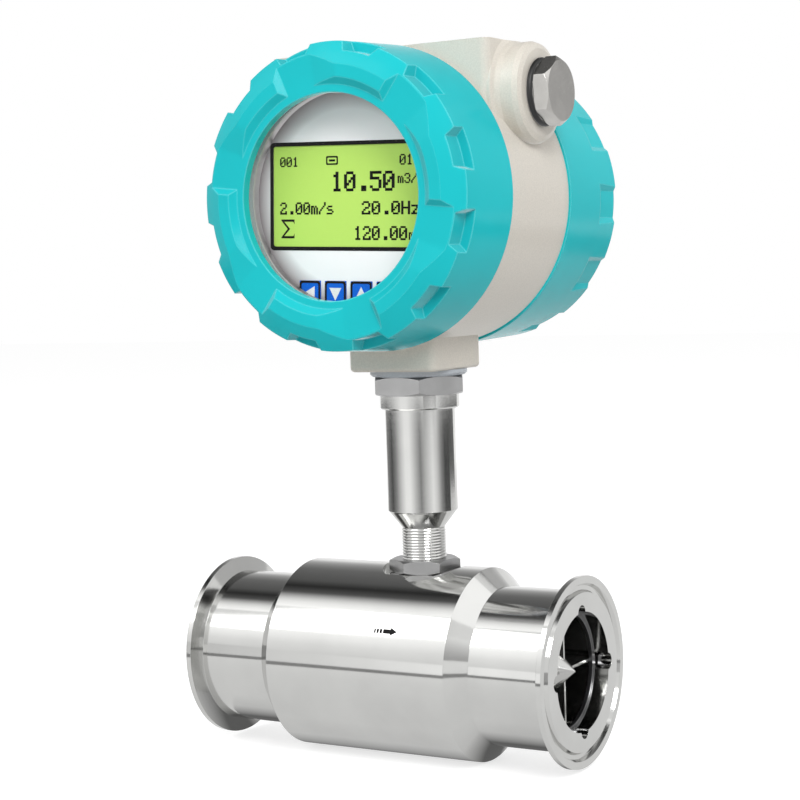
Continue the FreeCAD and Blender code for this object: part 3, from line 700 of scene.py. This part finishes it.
# ---- plug seals ------------------------------------------------------------------------
def plug_seal(node):
    """Rounded rubber ring squeezed under a plug's head."""
    low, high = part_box(node)
    radius = (high.z - low.z) / 2
    thickness = high.x - low.x
    inner = 9.98 * MM
    bulge = 0.5 * thickness
    steps = 8
    profile = [(0, inner), (thickness, inner)]
    for step in range(steps + 1):
        angle = math.pi / 2 - math.pi * step / steps
        along = thickness / 2 + bulge * math.sin(angle)
        profile.append((along, radius - bulge + bulge * math.cos(angle)))
    centre = middle(node)
    to_x = Matrix.Rotation(math.radians(90), 4, "Y")
    place = Matrix.Translation((low.x, centre.y, centre.z)) @ to_x
    ring = lathe(node + "_ring", profile, place, materials["seal_rubber"], node)
    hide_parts(node)


# ---- stage -----------------------------------------------------------------------------
def camera():
    """Camera at the photograph's angle: azimuth to the right of the front, and a slight roll."""
    azimuth, elevation, roll = CAMERA_AZIMUTH, math.radians(3.65), math.radians(-1.92)
    distance = 648.6 * MM
    target = Vector((stem_x, 0, 120 * MM))
    sidestep, drop = 5.72 * MM, 29.74 * MM
    level = math.cos(elevation)
    back = Vector((math.sin(azimuth) * level, -math.cos(azimuth) * level, math.sin(elevation)))
    right = Vector((math.cos(azimuth), math.sin(azimuth), 0))
    up = back.cross(right)
    rolled_right = math.cos(roll) * right + math.sin(roll) * up
    rolled_up = math.cos(roll) * up - math.sin(roll) * right
    data = bpy.data.cameras.new("camera")
    data.sensor_width = 36
    data.lens = 85
    data.clip_start = 0.01
    obj = link_object("camera", data)
    location = target + back * distance - rolled_right * sidestep - rolled_up * drop
    turn = Matrix((rolled_right, rolled_up, back)).transposed().to_4x4()
    obj.matrix_world = Matrix.Translation(location) @ turn
    bpy.context.scene.camera = obj


def area_light(name, place, aim, size, power):
    """Soft box that lights the object and doesn't show itself."""
    data = bpy.data.lights.new(name, "AREA")
    data.shape = "RECTANGLE"
    data.size, data.size_y = size
    data.energy = power
    obj = link_object(name, data)
    direction = Vector(aim) - Vector(place)
    turn = direction.to_track_quat("-Z", "Y").to_matrix().to_4x4()
    obj.matrix_world = Matrix.Translation(place) @ turn
    obj.visible_camera = False
    return obj


def card_shade(name, stops, gradient):
    """Glow that runs through (share, level) stops along a gradient in the card's own frame."""
    shade = bpy.data.materials.new(name)
    shade.use_nodes = True
    tree = shade.node_tree
    tree.nodes.clear()
    position = tree.nodes.new("ShaderNodeTexCoord")
    run = tree.nodes.new("ShaderNodeTexGradient")
    run.gradient_type = gradient
    ramp = tree.nodes.new("ShaderNodeValToRGB")
    glow = tree.nodes.new("ShaderNodeEmission")
    glow.inputs["Strength"].default_value = CARD_GLOW
    output = tree.nodes.new("ShaderNodeOutputMaterial")
    tree.links.new(position.outputs["Object"], run.inputs["Vector"])
    tree.links.new(run.outputs["Fac"], ramp.inputs["Fac"])
    tree.links.new(ramp.outputs["Color"], glow.inputs["Color"])
    tree.links.new(glow.outputs["Emission"], output.inputs["Surface"])
    marks = ramp.color_ramp.elements
    while len(marks) < len(stops):
        marks.new(1.0)
    for mark, (share, level) in zip(marks, stops):
        mark.position = share
        mark.color = (level / CARD_GLOW, level / CARD_GLOW, level / CARD_GLOW, 1)
    return shade


def gloss_card(name, vertices, faces, matrix, stops, gradient):
    """Studio card that shows only in reflections."""
    mesh = bpy.data.meshes.new(name)
    mesh.from_pydata(vertices, [], faces)
    mesh.materials.append(card_shade(name, stops, gradient))
    obj = link_object(name, mesh)
    obj.matrix_world = matrix
    obj.visible_camera = False
    obj.visible_diffuse = False
    obj.visible_shadow = False
    obj.visible_transmission = False


def flat_card(name, matrix, stops):
    """Unit square set by a matrix, shaded along its own X."""
    vertices = [(0, 0, 0), (1, 0, 0), (1, 1, 0), (0, 1, 0)]
    gloss_card(name, vertices, [(0, 1, 2, 3)], matrix, stops, "LINEAR")


def level_card(name, height, y_low, y_high, x_low, x_high, stops):
    """Level card whose shade changes with y: stops are (y, level)."""
    turn = Matrix.Rotation(math.radians(90), 4, "Z")
    size = Matrix.Diagonal((y_high - y_low, x_high - x_low, 1, 1))
    matrix = Matrix.Translation((x_high, y_low, height)) @ turn @ size
    flat_card(name, matrix, [((y - y_low) / (y_high - y_low), level) for y, level in stops])


def upright_card(name, corner, along, width, height, stops):
    """Upright card from a corner along a level direction, shaded from its foot to its top."""
    run = Vector(along).normalized()
    axes = Matrix(((0, run.x, run.y), (0, run.y, -run.x), (1, 0, 0))).to_4x4()
    size = Matrix.Diagonal((height, width, 1, 1))
    flat_card(name, Matrix.Translation(corner) @ axes @ size, stops)


def ring_card(name, radius, bottom, top, first, last, stops):
    """Upright card bent round the stem: angles are degrees to the right of the camera."""
    steps = 90
    vertices = []
    for step in range(steps + 1):
        angle = math.radians(first + (last - first) * step / steps)
        for height in (bottom, top):
            vertices.append((radius * math.cos(angle), radius * math.sin(angle), height))
    faces = [(2 * step, 2 * step + 2, 2 * step + 3, 2 * step + 1) for step in range(steps)]
    turn = Matrix.Rotation(CAMERA_AZIMUTH - math.radians(90), 4, "Z")
    matrix = Matrix.Translation((stem_x, 0, 0)) @ turn
    shares = [(0.5 + angle / 360, level) for angle, level in stops]
    gloss_card(name, vertices, faces, matrix, shares, "RADIAL")


def background_rays(tree):
    """Socket that is 1 for rays that see the background: from the camera, a gloss or a glass."""
    path = tree.nodes.new("ShaderNodeLightPath")
    result = path.outputs["Is Camera Ray"]
    for kind in ("Is Glossy Ray", "Is Transmission Ray"):
        either = tree.nodes.new("ShaderNodeMath")
        either.operation = "MAXIMUM"
        tree.links.new(result, either.inputs[0])
        tree.links.new(path.outputs[kind], either.inputs[1])
        result = either.outputs["Value"]
    return result


def floor():
    """Plain pale floor under the pipe, lifted towards white for the rays that see it."""
    reach = 4.0
    tone = 0.5
    lift_level = 0.68
    pale = bpy.data.materials.new("floor")
    pale.use_nodes = True
    tree = pale.node_tree
    shader = tree.nodes["Principled BSDF"]
    shader.inputs["Base Color"].default_value = (tone, tone, tone, 1)
    shader.inputs["Roughness"].default_value = 0.9
    shader.inputs["Specular IOR Level"].default_value = 0.0
    lift = tree.nodes.new("ShaderNodeMath")
    lift.operation = "MULTIPLY"
    lift.inputs[1].default_value = lift_level
    tree.links.new(background_rays(tree), lift.inputs[0])
    shader.inputs["Emission Color"].default_value = (1, 1, 1, 1)
    tree.links.new(lift.outputs["Value"], shader.inputs["Emission Strength"])
    corners = [(x * reach, y * reach, floor_level) for x, y in ((-1, -1), (1, -1), (1, 1), (-1, 1))]
    mesh = bpy.data.meshes.new("floor")
    mesh.from_pydata(corners, [], [(0, 1, 2, 3)])
    mesh.materials.append(pale)
    obj = link_object("floor", mesh)


def world():
    """White background, and a softer dome for what lights the object."""
    dome_level = 0.6
    scene_world = bpy.data.worlds.new("studio")
    bpy.context.scene.world = scene_world
    scene_world.use_nodes = True
    tree = scene_world.node_tree
    tree.nodes.clear()
    output = tree.nodes.new("ShaderNodeOutputWorld")
    mix = tree.nodes.new("ShaderNodeMixShader")
    dome = tree.nodes.new("ShaderNodeBackground")
    dome.inputs["Color"].default_value = (dome_level, dome_level, dome_level, 1)
    white = tree.nodes.new("ShaderNodeBackground")
    white.inputs["Color"].default_value = (1, 1, 1, 1)
    tree.links.new(background_rays(tree), mix.inputs["Fac"])
    tree.links.new(dome.outputs["Background"], mix.inputs[1])
    tree.links.new(white.outputs["Background"], mix.inputs[2])
    tree.links.new(mix.outputs["Shader"], output.inputs["Surface"])


def lamps():
    """Two soft boxes in front, and one behind that stays out of the reflections."""
    centre = (stem_x, 0, 0.11)
    area_light("front_box", (-0.7, -1.3, 1.3), centre, (1.1, 0.9), 8)
    area_light("key", (1.3, -1.2, 1.3), centre, (0.8, 0.8), 24)
    back_box = area_light("back_box", (0.55, 1.5, 0.75), (0.55, 0, 0.75), (1.2, 1.1), 9)
    back_box.visible_glossy = False


def pipe_cards():
    """What the polished pipe mirrors from above, below and behind."""
    # the dark band along the top of the pipe, fading to pale at the back and bright in front
    level_card("ceiling", 1.5, -0.72, 4.5, -3.2, 0.85, [
        (-0.72, 1.6), (-0.5, 1.3), (-0.38, 1.0), (-0.25, 0.55), (-0.12, 0.12),
        (0.15, 0.03), (0.45, 0.13), (1.3, 0.2), (2.3, 0.4), (4.2, 0.8),
    ])
    level_card("right_box", 1.5, -0.4, 1.3, 0.85, 2.6, [(-0.4, 1.4), (1.3, 1.4)])
    # the floor as the steel mirrors it, painted shade near the pipe, painted shadow under it
    level_card("floor_reflection_shade", floor_level + 0.05 * MM, -0.6, 1.0, -0.6, 1.0, [
        (-0.6, 1.05), (-0.2, 1.0), (-0.08, 0.92), (-0.03, 0.86),
        (0.03, 0.86), (0.08, 0.9), (1.0, 1.0),
    ])
    level_card("contact_shade", floor_level + 0.1 * MM, -0.03, 0.03, 0.0, 0.14, [
        (-0.03, 0.86), (-0.018, 0.74), (-0.006, 0.15), (0.006, 0.15), (0.018, 0.74), (0.03, 0.86),
    ])
    # in front, brighter towards the top; dark feet to the right and behind for cone and rims
    upright_card("front_card", (-1.9, -1.4, 0.08), (1, 0, 0), 2.2, 1.0, [
        (0.0, 0.95), (0.4, 1.15), (0.62, 1.35), (1.0, 1.6),
    ])
    upright_card("right_card", (0.72, -0.75, floor_level), (0.2, 1, 0), 0.6, 0.4, [
        (0.05, 0.12), (0.3, 0.45), (1.0, 1.1),
    ])
    upright_card("back_card", (0.3, 1.2, 0.02), (1, -0.2, 0), 1.2, 0.9, [(0.0, 0.6), (1.0, 0.6)])


def stem_cards():
    """Soft boxes and black flags that band the stem, and the dark line of the horizon."""
    bands = [
        (-140, 0.3), (-112, 0.1), (-91, 0.35), (-72, 0.85), (-55, 1.28), (-40, 1.28),
        (-22, 0.75), (-4, 0.28), (12, 0.7), (36, 1.2), (50, 0.88), (65, 0.35),
        (81, 0.08), (100, 0.1), (122, 0.16), (133, 0.2),
    ]
    ring_card("stem_bands", 0.5, floor_level, 60 * MM, -150, 104, bands)
    ring_card("stem_bands_right", 0.5, 6 * MM, 60 * MM, 104, 135, bands)
    ring_card("horizon_line", 0.29, floor_level, -17 * MM, -120, 60, [(-120, 0.3), (60, 0.3)])


def studio():
    """Camera, white room, lamps, and the cards that only the steel mirrors."""
    bpy.context.scene.view_settings.view_transform = "Standard"
    camera()
    world()
    floor()
    lamps()
    pipe_cards()
    stem_cards()


# ---- assembly --------------------------------------------------------------------------
dress_nodes()
front_cover()
stem_thread()
display_parts()
lcd_border()
lcd_content()
key_signs()
flow_arrow()
plug_seal("right_plug_seal")
plug_seal("left_plug_seal")
studio()
